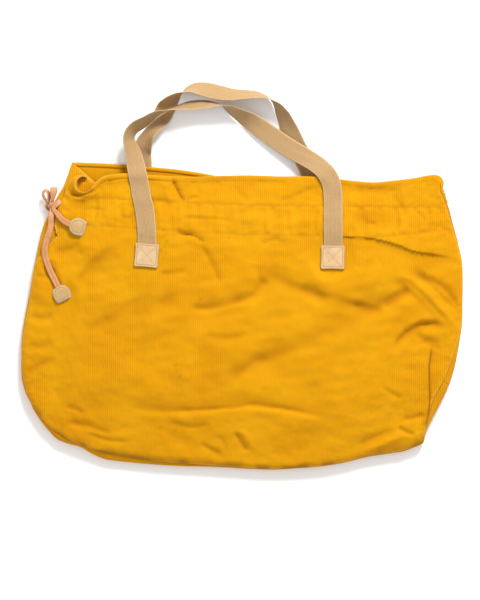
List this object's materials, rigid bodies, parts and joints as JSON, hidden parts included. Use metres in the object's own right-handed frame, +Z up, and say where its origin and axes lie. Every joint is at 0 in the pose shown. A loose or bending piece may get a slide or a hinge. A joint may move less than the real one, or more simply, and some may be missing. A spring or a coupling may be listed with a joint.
{
  "type": "mail sack",
  "caption": "Flat-lying canvas mail sack with gusset, two webbing handles on leather patches, and a leather drawcord tied in a bow.",
  "frame": {"origin": "middle of the surface that the sack lies on: centre of the bounding box in X and Y, lowest point in Z", "axes": "+X across the sack, with the drawcord at the -X end; +Y from the base to the mouth and the handles; +Z up, out of the front panel"},
  "size_m": [0.6986, 0.6141, 0.0367],
  "materials": {
    "canvas": "yellow cotton twill, matt, washed",
    "webbing": "beige ribbed cotton webbing",
    "patch_leather": "cream vegetable-tanned leather",
    "thread": "cream cotton thread",
    "lace_leather": "natural tan leather lace",
    "tab_leather": "pale pressed leather with a suede rim",
    "eyelet_metal": "dull nickel plate"
  },
  "bodies": {
    "sack": {"back_panel": "canvas", "front_panel": "canvas", "left_gusset": "canvas", "base_gusset": "canvas", "right_gusset": "canvas", "front_casing_band": "canvas", "back_casing_band": "canvas", "front_left_backing": "canvas", "front_right_backing": "canvas", "back_left_backing": "canvas", "back_right_backing": "canvas", "front_left_webbing_end": "webbing", "front_right_webbing_end": "webbing", "back_left_webbing_end": "webbing", "back_right_webbing_end": "webbing", "front_left_patch": "patch_leather", "front_right_patch": "patch_leather", "back_left_patch": "patch_leather", "back_right_patch": "patch_leather", "front_left_stitching": "thread", "front_right_stitching": "thread", "back_left_stitching": "thread", "back_right_stitching": "thread", "drawcord_run": "lace_leather", "bow_knot": "lace_leather", "side_bow_loop": "lace_leather", "top_bow_loop": "lace_leather", "front_lead": "lace_leather", "back_lead": "lace_leather", "front_eyelet": "eyelet_metal", "back_eyelet": "eyelet_metal"},
    "front_handle": {"front_handle": "webbing"},
    "back_handle": {"back_handle": "webbing"},
    "long_tail": {"long_tail_lace": "lace_leather", "long_tail_tab_back": "tab_leather", "long_tail_tab_front": "tab_leather"},
    "short_tail": {"short_tail_lace": "lace_leather", "short_tail_tab_back": "tab_leather", "short_tail_tab_front": "tab_leather"}
  },
  "joints": [
    {"name": "front_handle_fold", "type": "hinge", "parent": "sack", "child": "front_handle", "pos_m": [0, 0.058, 0.0311], "axis": [1, 0, 0], "range_deg": [0, 140]},
    {"name": "back_handle_fold", "type": "hinge", "parent": "sack", "child": "back_handle", "pos_m": [0, 0.058, 0.0031], "axis": [-1, 0, 0], "range_deg": [0, 140]},
    {"name": "long_tail_lift", "type": "hinge", "parent": "sack", "child": "long_tail", "pos_m": [-0.299, 0.1048, 0.0202], "axis": [-1, 0, 0], "range_deg": [0, 100]},
    {"name": "short_tail_lift", "type": "hinge", "parent": "sack", "child": "short_tail", "pos_m": [-0.2924, 0.1052, 0.0226], "axis": [-0.6899, -0.7239, 0], "range_deg": [0, 75]}
  ]
}
